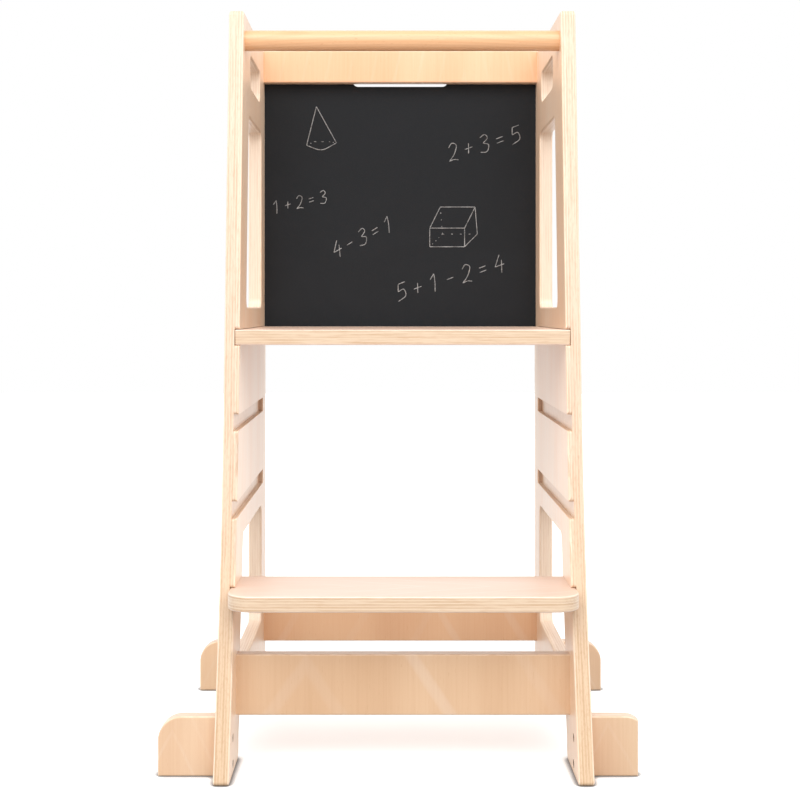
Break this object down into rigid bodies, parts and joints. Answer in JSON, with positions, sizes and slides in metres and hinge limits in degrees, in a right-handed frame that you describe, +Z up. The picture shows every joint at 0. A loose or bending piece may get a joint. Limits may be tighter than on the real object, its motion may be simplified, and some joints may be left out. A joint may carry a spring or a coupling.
{
  "type": "kids easel learning tower",
  "caption": "Birch plywood toddler standing tower with a lift-out chalkboard, slide-out platform, fixed step, round hand rail and screwed-on stabiliser feet",
  "frame": {"origin": "on the floor at the middle of the tower's footprint", "axes": "+X to the tower's right as seen by someone facing its open front with the chalkboard beyond, +Y from the open front to the chalkboard at the back, +Z up"},
  "size_m": [0.553, 0.47, 0.889],
  "materials": {
    "side_ply": "clear satin lacquer on birch plywood, ply edges showing",
    "deck_ply": "clear satin lacquer on pale birch veneer",
    "rail_ply": "clear satin lacquer on rotary-cut birch veneer",
    "foot_ply": "clear satin lacquer on birch plywood, upright grain",
    "rail_beech": "smooth turned beech, clear lacquer",
    "chalkboard_coat": "matt black chalkboard coating",
    "screw_steel": "bronzed steel, hex socket"
  },
  "bodies": {
    "tower_frame": {"left_side_panel": "side_ply", "right_side_panel": "side_ply", "hand_rail": "rail_beech", "rear_crossbar": "rail_ply", "step_board": "deck_ply", "front_lower_rail": "rail_ply", "rear_lower_rail": "rail_ply", "front_left_foot": "foot_ply", "front_right_foot": "foot_ply", "rear_left_foot": "foot_ply", "rear_right_foot": "foot_ply", "hand_rail_screws": "screw_steel", "crossbar_screws": "screw_steel", "front_rail_screws": "screw_steel", "rear_rail_screws": "screw_steel", "step_screws": "screw_steel", "front_foot_screws": "screw_steel", "rear_foot_screws": "screw_steel", "front_rail_dowels": "rail_beech", "rear_rail_dowels": "rail_beech"},
    "platform": {"platform": "deck_ply"},
    "chalkboard": {"chalkboard": "chalkboard_coat"}
  },
  "joints": [
    {"name": "platform_slide", "type": "slide", "parent": "tower_frame", "child": "platform", "axis": [0, -1, 0], "range_m": [0, 0.33]},
    {"name": "chalkboard_lift", "type": "slide", "parent": "tower_frame", "child": "chalkboard", "axis": [0, 0, 1], "range_m": [0, 0.4]}
  ]
}
